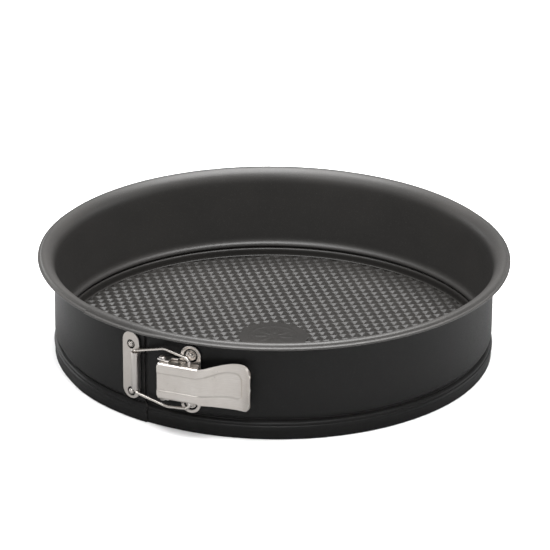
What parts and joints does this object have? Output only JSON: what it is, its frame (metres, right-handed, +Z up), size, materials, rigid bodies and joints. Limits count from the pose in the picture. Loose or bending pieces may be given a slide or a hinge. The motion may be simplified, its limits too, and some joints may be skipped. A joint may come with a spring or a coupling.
{
  "type": "springform pan",
  "caption": "Round springform baking pan: removable pressed base in a split coated-steel band, closed by a toggle latch with lever and wire bail.",
  "frame": {"origin": "on the pan's vertical axis, in the plane the band's foot stands on", "axes": "+Z up, out of the pan's mouth; -Y towards the middle of the latch; +X to the right seen from the latch"},
  "size_m": [0.2786, 0.2805, 0.0611],
  "materials": {
    "band_coating": "satin non-stick coating on sheet steel",
    "base_coating": "satin non-stick coating, dimpled",
    "latch_steel": "satin stamped stainless steel",
    "wire_steel": "bright drawn wire",
    "rivet_steel": "satin rivet heads"
  },
  "bodies": {
    "base": {"base_plate": "base_coating"},
    "band_rear": {"ring_rear": "band_coating"},
    "band_left": {"ring_left": "band_coating", "anchor_plate": "latch_steel", "anchor_rivet_top": "rivet_steel", "anchor_rivet_bottom": "rivet_steel"},
    "band_right": {"ring_right": "band_coating", "bracket": "latch_steel", "bracket_rivet_top": "rivet_steel", "bracket_rivet_bottom": "rivet_steel", "pivot_pin": "rivet_steel"},
    "lever": {"lever": "latch_steel"},
    "bail": {"bail": "wire_steel"}
  },
  "joints": [
    {"name": "ring_lift", "type": "slide", "parent": "base", "child": "band_rear", "axis": [0, 0, 1], "range_m": [0, 0.08]},
    {"name": "ring_right_open", "type": "hinge", "parent": "band_rear", "child": "band_right", "pos_m": [0.12116, 0.06995, 0.0328], "axis": [0, 0, 1], "range_deg": [0, 3.65]},
    {"name": "ring_left_open", "type": "hinge", "parent": "band_rear", "child": "band_left", "pos_m": [-0.12116, 0.06995, 0.0328], "axis": [0, 0, -1], "range_deg": [0, 3.65]},
    {"name": "lever_swing", "type": "hinge", "parent": "band_right", "child": "lever", "pos_m": [0.00477, -0.13584, 0.0328], "axis": [0, 0, -1], "range_deg": [0, 140]},
    {"name": "bail_swing", "type": "hinge", "parent": "band_left", "child": "bail", "pos_m": [-0.01582, -0.13202, 0.0328], "axis": [0, 0, -1], "range_deg": [0, 15.04]}
  ],
  "couplings": [
    {"joint": "ring_left_open", "follows": "ring_right_open", "ratio": 1},
    {"joint": "lever_swing", "follows": "ring_right_open", "ratio": 38.377},
    {"joint": "bail_swing", "follows": "ring_right_open", "ratio": 4.1225}
  ]
}
